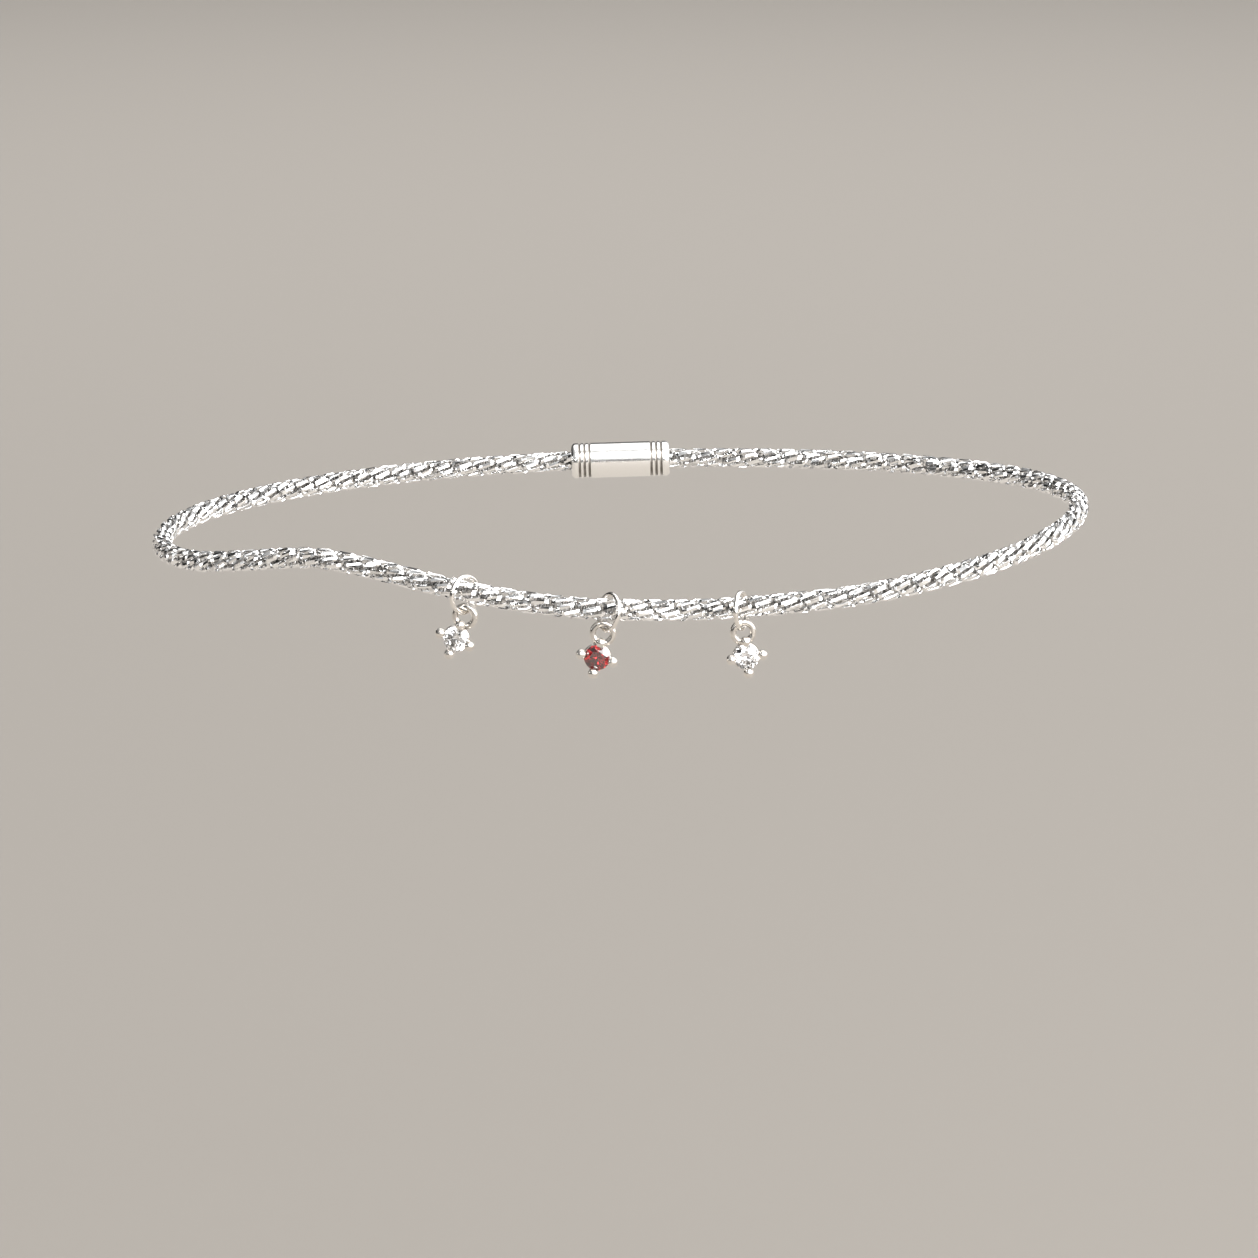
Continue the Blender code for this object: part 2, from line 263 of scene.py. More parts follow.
def chain_point(along):
    length = LOOP_RUN[-1] - LOOP_RUN[0]
    wrapped = (along - LOOP_RUN[0]) % length + LOOP_RUN[0]
    return Vector([np.interp(wrapped, LOOP_RUN, LOOP_POINTS[:, axis]) for axis in range(3)])


def chain_frame(along, level=True):
    """A frame on the centre line: X along the chain to the right, Y into the loop, Z up."""
    step = 0.5 * MM
    forward = chain_point(along + step) - chain_point(along - step)
    if level:
        forward.z = 0
    forward.normalize()
    inward = Vector((0, 0, 1)).cross(forward).normalized()
    up = forward.cross(inward)
    turn = Matrix((forward, inward, up)).transposed().to_4x4()
    return Matrix.Translation(chain_point(along)) @ turn


def add_node(tree, kind, inputs=None, **settings):
    """Adds a node with its settings. An input is given by name or number, and is a value or the
    output that feeds it."""
    node = tree.nodes.new(kind)
    for name, value in settings.items():
        setattr(node, name, value)
    for key, value in (inputs or {}).items():
        socket = node.inputs[key]
        if isinstance(value, bpy.types.NodeSocket):
            tree.links.new(value, socket)
        else:
            socket.default_value = value
    return node


def add_math(tree, operation, *values):
    node = add_node(tree, "ShaderNodeMath", dict(enumerate(values)), operation=operation)
    return node.outputs[0]


def add_sockets(tree, side, sockets):
    """Gives a tree its named inputs or outputs, and returns them by their names."""
    made = {}
    for name, kind in sockets.items():
        made[name] = tree.interface.new_socket(name=name, in_out=side, socket_type=kind)
    return made


def start_group(name, inputs, outputs):
    """A new shader node group, the sockets that it is given and the sockets that it puts out."""
    tree = bpy.data.node_groups.new(name, "ShaderNodeTree")
    add_sockets(tree, "INPUT", inputs)
    add_sockets(tree, "OUTPUT", outputs)
    return tree, tree.nodes.new("NodeGroupInput").outputs, tree.nodes.new("NodeGroupOutput").inputs


def polish_group():
    """Fine marks of polishing: short hairline scratches in two directions, and a soft cloudiness."""
    tree, given, out = start_group(
        "polish_marks",
        {"Scale": "NodeSocketFloat", "Depth": "NodeSocketFloat"},
        {"Cloud": "NodeSocketFloat", "Scratches": "NodeSocketFloat", "Height": "NodeSocketFloat"},
    )
    place = add_node(tree, "ShaderNodeTexCoord").outputs["Object"]
    cloud = add_node(
        tree, "ShaderNodeTexNoise", {"Vector": place, "Scale": given["Scale"], "Detail": 3.0}
    )
    runs = []
    for turn, stretch in ((0.5, (1, 14, 14)), (-0.9, (14, 1, 14))):
        turned = add_node(
            tree,
            "ShaderNodeMapping",
            {"Vector": place, "Rotation": (0.2, turn, turn), "Scale": stretch},
        )
        hair = add_node(
            tree,
            "ShaderNodeTexNoise",
            {"Vector": turned.outputs[0], "Scale": given["Scale"], "Detail": 2.0},
        )
        runs.append(hair.outputs[0])
    both = add_math(tree, "MAXIMUM", runs[0], runs[1])
    sharp = add_node(
        tree,
        "ShaderNodeMapRange",
        {"Value": both, "From Min": 0.56, "From Max": 0.72, "To Min": 0.0, "To Max": 1.0},
    )
    tree.links.new(cloud.outputs[0], out["Cloud"])
    tree.links.new(sharp.outputs[0], out["Scratches"])
    tree.links.new(add_math(tree, "MULTIPLY", sharp.outputs[0], given["Depth"]), out["Height"])
    return tree


def tarnish_and_shade_group():
    """Silver that stays bright where it is rubbed and goes grey in its recesses; that grey is partly
    tarnished silver and partly painted shade.
    """
    tree, given, out = start_group(
        "tarnish_and_shade",
        {
            "Bright": "NodeSocketColor",
            "Dull": "NodeSocketColor",
            "Recess": "NodeSocketFloat",
            "Cloud": "NodeSocketFloat",
        },
        {"Color": "NodeSocketColor", "Mask": "NodeSocketFloat"},
    )
    uneven = add_math(tree, "MULTIPLY_ADD", given["Cloud"], 0.8, 0.6)
    mask = add_math(tree, "MULTIPLY", given["Recess"], uneven)
    held = add_node(tree, "ShaderNodeClamp", {0: mask}).outputs[0]
    colour = add_node(
        tree,
        "ShaderNodeMix",
        {"Factor": held, 6: given["Bright"], 7: given["Dull"]},
        data_type="RGBA",
    )
    tree.links.new(colour.outputs[2], out["Color"])
    tree.links.new(held, out["Mask"])
    return tree


def start_material(name):
    material = bpy.data.materials.new(name)
    material.use_nodes = True
    tree = material.node_tree
    return material, tree, tree.nodes["Principled BSDF"]


def add_group(tree, group, inputs):
    return add_node(tree, "ShaderNodeGroup", inputs, node_tree=group).outputs


def feed(tree, shader, **sockets):
    """Feeds the shader's inputs, named with _ for a space, with values or outputs."""
    for name, value in sockets.items():
        socket = shader.inputs[name.replace("_", " ")]
        if isinstance(value, bpy.types.NodeSocket):
            tree.links.new(value, socket)
        else:
            socket.default_value = value


def facet_group():
    """Cut facets that each lean a little their own way and take the polish a little differently."""
    tree, given, out = start_group(
        "cut_facets",
        {"Lean": "NodeSocketFloat"},
        {"Normal": "NodeSocketVector", "Polish": "NodeSocketFloat"},
    )
    facet = add_node(tree, "ShaderNodeAttribute", attribute_name="facet").outputs
    lean = add_node(
        tree,
        "ShaderNodeVectorMath",
        {0: facet["Vector"], "Scale": given["Lean"]},
        operation="SCALE",
    )
    face = add_node(tree, "ShaderNodeNewGeometry").outputs["Normal"]
    leaned = add_node(
        tree, "ShaderNodeVectorMath", {0: face, 1: lean.outputs[0]}, operation="ADD"
    )
    straight = add_node(
        tree, "ShaderNodeVectorMath", {0: leaned.outputs[0]}, operation="NORMALIZE"
    )
    tree.links.new(straight.outputs[0], out["Normal"])
    tree.links.new(facet["Fac"], out["Polish"])
    return tree


def silver_material(name, groups, bright, dull, roughness, recess, facet_lean=0.0):
    """Polished silver. Recess says how deep in the piece each place lies, made in this material's
    own tree, and facet_lean how far its cut facets lean from the faces that they lie on."""
    material, tree, shader = start_material(name)
    marks = add_group(tree, groups["polish"], {"Scale": POLISH_SCALE, "Depth": 1.0})
    # The dull colour comes in by the mask: in the links' and castings' recesses it is partly tarnished
    # silver and partly painted shade.
    tarnish_and_shade_mix = add_group(
        tree,
        groups["tarnish_and_shade"],
        {"Bright": bright, "Dull": dull, "Recess": recess(tree), "Cloud": marks["Cloud"]},
    )
    rough = add_math(tree, "MULTIPLY_ADD", marks["Scratches"], SCRATCH_ROUGHNESS, roughness)
    rough = add_math(tree, "MULTIPLY_ADD", tarnish_and_shade_mix["Mask"], TARNISH_AND_SHADE_ROUGHNESS, rough)
    relief = {"Height": marks["Height"], "Distance": SCRATCH_DEPTH, "Strength": 0.5}
    if facet_lean:
        facets = add_group(tree, groups["facets"], {"Lean": facet_lean})
        rough = add_math(tree, "MULTIPLY_ADD", facets["Polish"], FACET_ROUGHNESS, rough)
        relief["Normal"] = facets["Normal"]
    bump = add_node(tree, "ShaderNodeBump", relief)
    feed(
        tree,
        shader,
        Base_Color=tarnish_and_shade_mix["Color"],
        Metallic=1.0,
        Roughness=rough,
        Normal=bump.outputs[0],
    )
    return material


def link_recess(tree):
    """From 0 on the links' outer faces to 1 near the chain's axis."""
    # This darkening towards the chain's axis is partly tarnished silver and partly painted shade, for
    # the shade between the wires.
    outward = add_node(tree, "ShaderNodeAttribute", attribute_name="outward").outputs["Fac"]
    return add_node(
        tree,
        "ShaderNodeMapRange",
        {"Value": outward, "From Min": 0.82, "From Max": 0.42, "To Min": 0.0, "To Max": 1.0},
    ).outputs[0]


def cast_recess(tree):
    """From 0 on the rounded outside of a casting to 1 in its inner corners."""
    # This darkening in inner corners and the clasp's grooves is partly tarnished silver and partly
    # painted shade, which outlines the prongs, the stone and the grooves.
    bend = add_node(tree, "ShaderNodeNewGeometry").outputs["Pointiness"]
    return add_node(
        tree,
        "ShaderNodeMapRange",
        {"Value": bend, "From Min": 0.53, "From Max": 0.46, "To Min": 0.0, "To Max": 1.0},
    ).outputs[0]


def faint_tarnish(tree):
    """Faint patches where the silver is tarnished, which are 0 over most of a piece and never more than
    a third.
    """
    place = add_node(tree, "ShaderNodeTexCoord").outputs["Object"]
    patches = add_node(tree, "ShaderNodeTexNoise", {"Vector": place, "Scale": 900.0, "Detail": 2.0})
    return add_node(
        tree,
        "ShaderNodeMapRange",
        {
            "Value": patches.outputs[0],
            "From Min": 0.52,
            "From Max": 0.70,
            "To Min": 0.0,
            "To Max": 0.33,
        },
    ).outputs[0]


def stone_material(name, colour):
    """A clear cut stone with a high index, faintly cloudy inside its colour."""
    material, tree, shader = start_material(name)
    place = add_node(tree, "ShaderNodeTexCoord").outputs["Object"]
    cloud = add_node(tree, "ShaderNodeTexNoise", {"Vector": place, "Scale": 1800.0, "Detail": 1.0})
    deep = tuple(part * STONE_CLOUD for part in colour)
    tint = add_node(
        tree,
        "ShaderNodeMix",
        {"Factor": cloud.outputs[0], 6: (*colour, 1.0), 7: (*deep, 1.0)},
        data_type="RGBA",
    )
    feed(
        tree,
        shader,
        Base_Color=tint.outputs[2],
        Metallic=0.0,
        Roughness=0.01,
        IOR=STONE_INDEX,
        Transmission_Weight=1.0,
    )
    return material


def finish_piece(name, mesh, material, slot, *nodes):
    """Makes a finished piece at the origin, which rides on the one body and replaces CAD nodes."""
    mesh.name = name
    mesh.materials.clear()
    mesh.materials.append(material)
    piece = add_object(name, mesh)
    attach(piece, "root")
    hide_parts(*nodes)
    return piece


def add_link_shape(tree, given):
    """One link at the origin with the chain's axis along Z. Its attribute outward is how far each
    point lies from that axis, from 0 to 1."""
    half_width = add_math(tree, "DIVIDE", given["Link width"], 2.0)
    square = add_node(
        tree,
        "GeometryNodeCurvePrimitiveQuadrilateral",
        {"Width": given["Link length"], "Height": given["Link width"]},
        mode="RECTANGLE",
    )
    outline = add_node(
        tree,
        "GeometryNodeFilletCurve",
        {
            "Curve": square.outputs[0],
            "Radius": given["Corner radius"],
            "Count": given["Corner cuts"],
            "Limit Radius": True,
        },
        mode="POLY",
    )

    half_thick = add_math(tree, "DIVIDE", given["Wire thickness"], 2.0)
    half_broad = add_math(tree, "DIVIDE", given["Wire breadth"], 2.0)
    wire_size = add_node(tree, "ShaderNodeCombineXYZ", {0: half_thick, 1: half_broad, 2: 1.0})
    round_wire = add_node(
        tree, "GeometryNodeCurvePrimitiveCircle", {"Resolution": given["Sides"], "Radius": 1.0}
    )
    wire = add_node(
        tree,
        "GeometryNodeTransform",
        {"Geometry": round_wire.outputs[0], "Scale": wire_size.outputs[0]},
    )
    ring = add_node(
        tree, "GeometryNodeCurveToMesh", {"Curve": outline.outputs[0], "Profile Curve": wire.outputs[0]}
    )

    place = add_node(tree, "GeometryNodeInputPosition").outputs[0]
    across = add_node(tree, "ShaderNodeVectorMath", {0: place, 1: (0, 1, 1)}, operation="MULTIPLY")
    reach = add_node(tree, "ShaderNodeVectorMath", {0: across.outputs[0]}, operation="LENGTH")
    outer = add_math(tree, "ADD", half_width, half_thick)
    outward = add_math(tree, "DIVIDE", reach.outputs["Value"], outer)
    marked = add_node(
        tree,
        "GeometryNodeStoreNamedAttribute",
        {"Geometry": ring.outputs[0], "Name": "outward", "Value": outward},
        data_type="FLOAT",
        domain="POINT",
    )
    link = add_node(
        tree,
        "GeometryNodeTransform",
        {"Geometry": marked.outputs[0], "Rotation": (0, math.pi / 2, 0)},
    )
    along = add_node(tree, "ShaderNodeSeparateXYZ", {0: place}).outputs["Z"]
    wring = add_math(tree, "MULTIPLY", along, given["Wring"])
    slanted = add_node(
        tree, "ShaderNodeVectorRotate", {"Vector": place, "Angle": wring}, rotation_type="Z_AXIS"
    )
    wrung = add_node(
        tree,
        "GeometryNodeSetPosition",
        {"Geometry": link.outputs[0], "Position": slanted.outputs[0]},
    )
    return wrung.outputs[0]


def add_link_string(tree, given, link):
    """Copies of a link along the path, each turned on from the last, with their facets marked."""
    path = add_node(tree, "GeometryNodeMeshToCurve", {"Mesh": given["Path"]})
    level = add_node(tree, "GeometryNodeSetCurveNormal", {"Curve": path.outputs[0]})
    level.mode = "Z_UP"
    points = add_node(
        tree,
        "GeometryNodeCurveToPoints",
        {"Curve": level.outputs[0], "Count": given["Link count"]},
        mode="COUNT",
    )
    index = add_node(tree, "GeometryNodeInputIndex").outputs[0]
    loose = add_node(
        tree,
        "FunctionNodeRandomValue",
        {
            0: (-1, -1, -1),
            1: (1, 1, 1),
            "ID": index,
            "Seed": given["Seed"],
        },
        data_type="FLOAT_VECTOR",
    )
    tilt = add_node(
        tree,
        "ShaderNodeVectorMath",
        {0: loose.outputs[0], "Scale": given["Looseness"]},
        operation="SCALE",
    )
    tilt_turn = add_node(tree, "FunctionNodeEulerToRotation", {0: tilt.outputs[0]})
    turn = add_math(tree, "MULTIPLY", index, given["Turn"])
    turned = add_node(
        tree, "FunctionNodeAxisAngleToRotation", {"Axis": (0, 0, 1), "Angle": turn}
    )
    laid = add_node(
        tree,
        "FunctionNodeRotateRotation",
        {"Rotation": points.outputs["Rotation"], "Rotate By": turned.outputs[0]},
        rotation_space="LOCAL",
    )
    tilted = add_node(
        tree,
        "FunctionNodeRotateRotation",
        {"Rotation": laid.outputs[0], "Rotate By": tilt_turn.outputs[0]},
        rotation_space="LOCAL",
    )
    strung = add_node(
        tree,
        "GeometryNodeInstanceOnPoints",
        {
            "Points": points.outputs["Points"],
            "Instance": link,
            "Rotation": tilted.outputs[0],
        },
    )
    real = add_node(tree, "GeometryNodeRealizeInstances", {"Geometry": strung.outputs[0]})
    cut = add_node(
        tree,
        "GeometryNodeStoreNamedAttribute",
        {"Geometry": real.outputs[0], "Name": "facet", "Value": loose.outputs[0]},
        data_type="FLOAT_VECTOR",
        domain="FACE",
    )
    flat = add_node(
        tree, "GeometryNodeSetShadeSmooth", {"Geometry": cut.outputs[0], "Shade Smooth": False}
    )
    dressed = add_node(
        tree,
        "GeometryNodeSetMaterial",
        {"Geometry": flat.outputs[0], "Material": given["Material"]},
    )
    return dressed.outputs[0]


def link_tree():
    """Geometry Nodes that string interlocked links along a path."""
    tree = bpy.data.node_groups.new("sparkle_links", "GeometryNodeTree")
    inputs = add_sockets(
        tree,
        "INPUT",
        {
            "Path": "NodeSocketGeometry",
            "Link count": "NodeSocketInt",
            "Link length": "NodeSocketFloat",
            "Link width": "NodeSocketFloat",
            "Wire thickness": "NodeSocketFloat",
            "Wire breadth": "NodeSocketFloat",
            "Turn": "NodeSocketFloat",
            "Wring": "NodeSocketFloat",
            "Looseness": "NodeSocketFloat",
            "Corner radius": "NodeSocketFloat",
            "Corner cuts": "NodeSocketInt",
            "Sides": "NodeSocketInt",
            "Seed": "NodeSocketInt",
            "Material": "NodeSocketMaterial",
        },
    )
    add_sockets(tree, "OUTPUT", {"Links": "NodeSocketGeometry"})
    given = tree.nodes.new("NodeGroupInput").outputs
    links = add_link_string(tree, given, add_link_shape(tree, given))
    out = tree.nodes.new("NodeGroupOutput")
    tree.links.new(links, out.inputs[0])
    return tree, inputs


def evaluated_mesh(obj):
    bpy.context.view_layer.update()
    graph = bpy.context.evaluated_depsgraph_get()
    return bpy.data.meshes.new_from_object(obj.evaluated_get(graph))


def run_tree(mesh, tree, sockets, values):
    """The mesh that a Geometry Nodes tree makes of another mesh, with values for its inputs."""
    carrier = add_object("carrier", mesh)
    modifier = carrier.modifiers.new("nodes", "NODES")
    modifier.node_group = tree
    for name, value in values.items():
        modifier[sockets[name].identifier] = value
    made = evaluated_mesh(carrier)
    carrier.modifiers.remove(modifier)
    bpy.data.objects.remove(carrier, do_unlink=True)
    return made


def make_links(material):
    """The chain's links, strung from inside one end of the clasp round to the other."""
    end = CLASP_LENGTH / 2 - CHAIN_END_IN_CLASP + (LINK_LENGTH + LINK_WIRE_THICKNESS) / 2
    first = LOOP_RUN[0] + end
    last = LOOP_RUN[-1] - end
    count = round((last - first) / LINK_PITCH) + 1
    path = bpy.data.meshes.new("path")
    points = [chain_point(along) for along in np.linspace(first, last, LOOP_STEPS)]
    edges = [(step, step + 1) for step in range(LOOP_STEPS - 1)]
    path.from_pydata(points, edges, [])
    tree, sockets = link_tree()
    values = {
        "Link count": count,
        "Link length": LINK_LENGTH,
        "Link width": LINK_WIDTH,
        "Wire thickness": LINK_WIRE_THICKNESS,
        "Wire breadth": LINK_WIRE_BREADTH,
        "Turn": math.radians(LINK_TURN),
        "Wring": math.radians(LINK_WRING),
        "Looseness": math.radians(LINK_LOOSENESS),
        "Corner radius": LINK_CORNER,
        "Corner cuts": LINK_CORNER_CUTS,
        "Sides": LINK_WIRE_SIDES,
        "Seed": LINK_SEED,
        "Material": material,
    }
    mesh = run_tree(path, tree, sockets, values)
    return finish_piece("sparkle_links", mesh, material, "silver", "chain")


def sort_by_points(bm):
    """Sorts edges and faces by their points, because a spin makes them in another order each run."""
    bm.verts.index_update()
    for items in (bm.edges, bm.faces):
        ranked = sorted(items, key=lambda item: sorted(vert.index for vert in item.verts))
        ranks = {item: rank for rank, item in enumerate(ranked)}
        items.sort(key=ranks.get)


def mesh_from(bm, name, sharp_angle=None):
    """The finished mesh, smooth apart from its sharp edges where an angle is given."""
    bmesh.ops.recalc_face_normals(bm, faces=bm.faces)
    mesh = bpy.data.meshes.new(name)
    bm.to_mesh(mesh)
    bm.free()
    if sharp_angle:
        mesh.shade_smooth()
        mesh.set_sharp_from_angle(angle=math.radians(sharp_angle))
    return mesh


def add_ring(bm, radius, wire, segments, sides, opening=0.0):
    """A round wire ring in the XZ plane, round the Y axis. An opening in degrees leaves a slit with
    flat ends at its +X side."""
    place = Matrix.Translation((radius, 0, 0))
    section = bmesh.ops.create_circle(
        bm, segments=sides, radius=wire / 2, matrix=place, cap_ends=bool(opening)
    )
    edges = list(dict.fromkeys(edge for vert in section["verts"] for edge in vert.link_edges))
    swept = bmesh.ops.spin(
        bm,
        geom=section["verts"] + edges,
        cent=(0, 0, 0),
        axis=(0, 1, 0),
        angle=math.radians(360 - opening),
        steps=segments,
        use_merge=not opening,
    )
    if opening:
        rim = [item for item in swept["geom_last"] if isinstance(item, bmesh.types.BMEdge)]
        bmesh.ops.contextual_create(bm, geom=rim)


def make_clasp(material):
    """The barrel at the back, with a round of fine grooves near each end."""
    half = CLASP_LENGTH / 2
    outer = CLASP_DIAMETER / 2
    bore = CLASP_BORE / 2
    floor = half - CLASP_BORE_DEPTH
    groove = CLASP_GROOVE
    right_side = [(floor, 0.0), (floor, bore), (half - groove, bore), (half, bore + groove)]
    for degrees in range(0, 91, 15):
        turned = math.radians(degrees)
        x = half - CLASP_EDGE + CLASP_EDGE * math.cos(turned)
        right_side.append((x, outer - CLASP_EDGE + CLASP_EDGE * math.sin(turned)))
    for ring in range(CLASP_GROOVE_COUNT):
        start = half - CLASP_EDGE - CLASP_GROOVE_START - CLASP_GROOVE_PITCH * ring
        right_side.append((start, outer))
        for degrees in (30, 90, 150):
            turned = math.radians(degrees)
            x = start - groove + groove * math.cos(turned)
            right_side.append((x, outer - groove * math.sin(turned)))
        right_side.append((start - 2 * groove, outer))
    left_side = [(-x, radius) for x, radius in reversed(right_side)]
    bm = bmesh.new()
    verts = [bm.verts.new((x, 0, radius)) for x, radius in right_side + left_side]
    edges = [bm.edges.new(pair) for pair in zip(verts, verts[1:])]
    bmesh.ops.spin(
        bm,
        geom=verts + edges,
        cent=(0, 0, 0),
        axis=(1, 0, 0),
        angle=2 * math.pi,
        steps=CLASP_SEGMENTS,
    )
    bmesh.ops.remove_doubles(bm, verts=bm.verts, dist=0.001 * MM)
    place = chain_frame(LOOP_RUN[-1], level=False)
    mouths = [chain_point(LOOP_RUN[-1] + side) for side in (-half, half)]
    place.translation = (place.translation + (mouths[0] + mouths[1]) / 2) / 2
    bmesh.ops.transform(bm, matrix=place, verts=bm.verts)
    sort_by_points(bm)
    mesh = mesh_from(bm, "barrel", sharp_angle=SHARP_ANGLE)
    return finish_piece("barrel_clasp", mesh, material, "silver", "clasp")


Tier = namedtuple("Tier", "name count first angle radius height")


def brilliant_tiers(half_girdle):
    """The facets of a brilliant of radius 1, a row for each tier. Every facet of a tier passes
    through a point at this radius and height, and a tier under the girdle has an angle under zero."""
    crown_top = half_girdle + (1 - STONE_TABLE) * math.tan(math.radians(CROWN_ANGLE))
    half_step = 180 / STONE_FOLD
    chord = math.cos(math.radians(half_step / 2))
    star = STONE_TABLE * math.cos(math.radians(half_step))
    count = STONE_FOLD
    return (
        Tier("table", 1, 0, 0, 0, crown_top),
        Tier("crown mains", count, 0, CROWN_ANGLE, 1, half_girdle),
        Tier("upper halves", 2 * count, half_step / 2, UPPER_HALF_ANGLE, chord, half_girdle),
        Tier("stars", count, half_step, STAR_ANGLE, star, crown_top),
        Tier("pavilion mains", count, 0, -PAVILION_ANGLE, 1, -half_girdle),
        Tier("lower halves", 2 * count, half_step / 2, -LOWER_HALF_ANGLE, chord, -half_girdle),
    )


def cut_tier(bm, tier):
    """Cuts the facets of a tier off a stone, and closes each cut with a flat face."""
    for index in range(tier.count):
        azimuth = math.radians(tier.first + 360 * index / tier.count)
        outward = Vector((math.cos(azimuth), math.sin(azimuth), 0))
        tilt = math.radians(abs(tier.angle))
        rise = math.copysign(math.cos(tilt), tier.angle)
        cut = bmesh.ops.bisect_plane(
            bm,
            geom=bm.verts[:] + bm.edges[:] + bm.faces[:],
            dist=1e-5,
            plane_co=outward * tier.radius + Vector((0, 0, tier.height)),
            plane_no=outward * math.sin(tilt) + Vector((0, 0, rise)),
            clear_outer=True,
        )
        rim = [item for item in cut["geom_cut"] if isinstance(item, bmesh.types.BMEdge)]
        if len(rim) > 2:
            bmesh.ops.contextual_create(bm, geom=rim)


def brilliant(clearance=0.0):
    """A round brilliant in millimetres, table towards +Z and girdle round the origin."""
    bm = bmesh.new()
    bmesh.ops.create_cone(
        bm, cap_ends=True, segments=2 * STONE_FOLD, radius1=1, radius2=1, depth=4
    )
    for tier in brilliant_tiers(STONE_GIRDLE / STONE_RADIUS / 2):
        cut_tier(bm, tier)
    bmesh.ops.remove_doubles(bm, verts=bm.verts, dist=1e-4)
    bmesh.ops.scale(bm, vec=Vector((1, 1, 1)) * (STONE_RADIUS + clearance), verts=bm.verts)
    return bm


STONE_PLACE = Matrix.Translation((0, -SETTING_FORWARD, -SETTING_DROP)) @ Matrix.Rotation(
    math.radians(90), 4, "X"
)


def prong_point(azimuth, radius, depth):
    """A point of the setting, at a radius from its middle and a depth behind the girdle."""
    turned = math.radians(azimuth)
    return Vector(
        (radius * math.cos(turned), depth - SETTING_FORWARD, radius * math.sin(turned) - SETTING_DROP)
    )


def add_prong(bm, azimuth):
    """A round prong that leans outwards from the base ring, with a bead pushed over the stone."""
    foot = prong_point(azimuth, PRONG_FOOT_RADIUS, PRONG_FOOT_DEPTH)
    top = prong_point(azimuth, PRONG_TOP_RADIUS, PRONG_TOP_DEPTH)
    run = top - foot
    place = Matrix.Translation((foot + top) / 2) @ run.to_track_quat("Z", "Y").to_matrix().to_4x4()
    bmesh.ops.create_cone(
        bm,
        cap_ends=True,
        segments=PRONG_SIDES,
        radius1=PRONG_WIRE / 2,
        radius2=PRONG_WIRE / 2,
        depth=run.length,
        matrix=place,
    )
    bead = Matrix.Translation(prong_point(azimuth, PRONG_BEAD_AT, PRONG_BEAD_DEPTH))
    bmesh.ops.create_uvsphere(
        bm, u_segments=PRONG_SIDES, v_segments=BEAD_ROWS, radius=PRONG_BEAD_RADIUS, matrix=bead
    )


def add_setting_ring(bm, radius, wire, depth):
    """A ring of the setting round the stone's axis, at a depth behind the girdle."""
    before = set(bm.verts)
    add_ring(bm, radius, wire, RING_SEGMENTS, SETTING_WIRE_SIDES)
    made = [vert for vert in bm.verts if vert not in before]
    bmesh.ops.translate(bm, vec=(0, depth - SETTING_FORWARD, -SETTING_DROP), verts=made)


def cast_setting():
    """The eye, prongs and rings melted into one casting, with soft fillets where they meet and
    the stone's seat cut into the prongs, worked out in millimetres."""
    bm = bmesh.new()
    add_ring(bm, EYE_RADIUS, EYE_WIRE, RING_SEGMENTS, WIRE_SIDES)
    add_setting_ring(bm, GALLERY_RADIUS, GALLERY_WIRE, GALLERY_DEPTH)
    add_setting_ring(bm, BASE_RADIUS, BASE_WIRE, PRONG_FOOT_DEPTH)
    for azimuth in PRONG_AZIMUTHS:
        add_prong(bm, azimuth)
    sort_by_points(bm)
    rough = add_object("rough_setting", mesh_from(bm, "rough_setting"))
    melt = rough.modifiers.new("melt", "REMESH")
    melt.mode = "VOXEL"
    melt.voxel_size = MELT_SIZE
    soften = rough.modifiers.new("soften", "SMOOTH")
    soften.factor = 0.5
    soften.iterations = 6
    lighten = rough.modifiers.new("lighten", "DECIMATE")
    lighten.ratio = MELT_KEPT
    cutter_bm = brilliant(STONE_CLEARANCE)
    bmesh.ops.transform(cutter_bm, matrix=STONE_PLACE, verts=cutter_bm.verts)
    cutter = add_object("seat_cutter", mesh_from(cutter_bm, "seat_cutter"))
    seat = rough.modifiers.new("seat", "BOOLEAN")
    seat.operation = "DIFFERENCE"
    seat.solver = "EXACT"
    seat.object = cutter
    mesh = evaluated_mesh(rough)
    for helper in (rough, cutter):
        bpy.data.objects.remove(helper, do_unlink=True)
    mesh.transform(Matrix.Scale(MM, 4))
    mesh.shade_smooth()
    mesh.set_sharp_from_angle(angle=math.radians(SHARP_ANGLE))
    return mesh


def lean_by(degrees):
    """Leans what hangs below, towards the right for more than zero."""
    return Matrix.Rotation(math.radians(-degrees), 4, "Y")


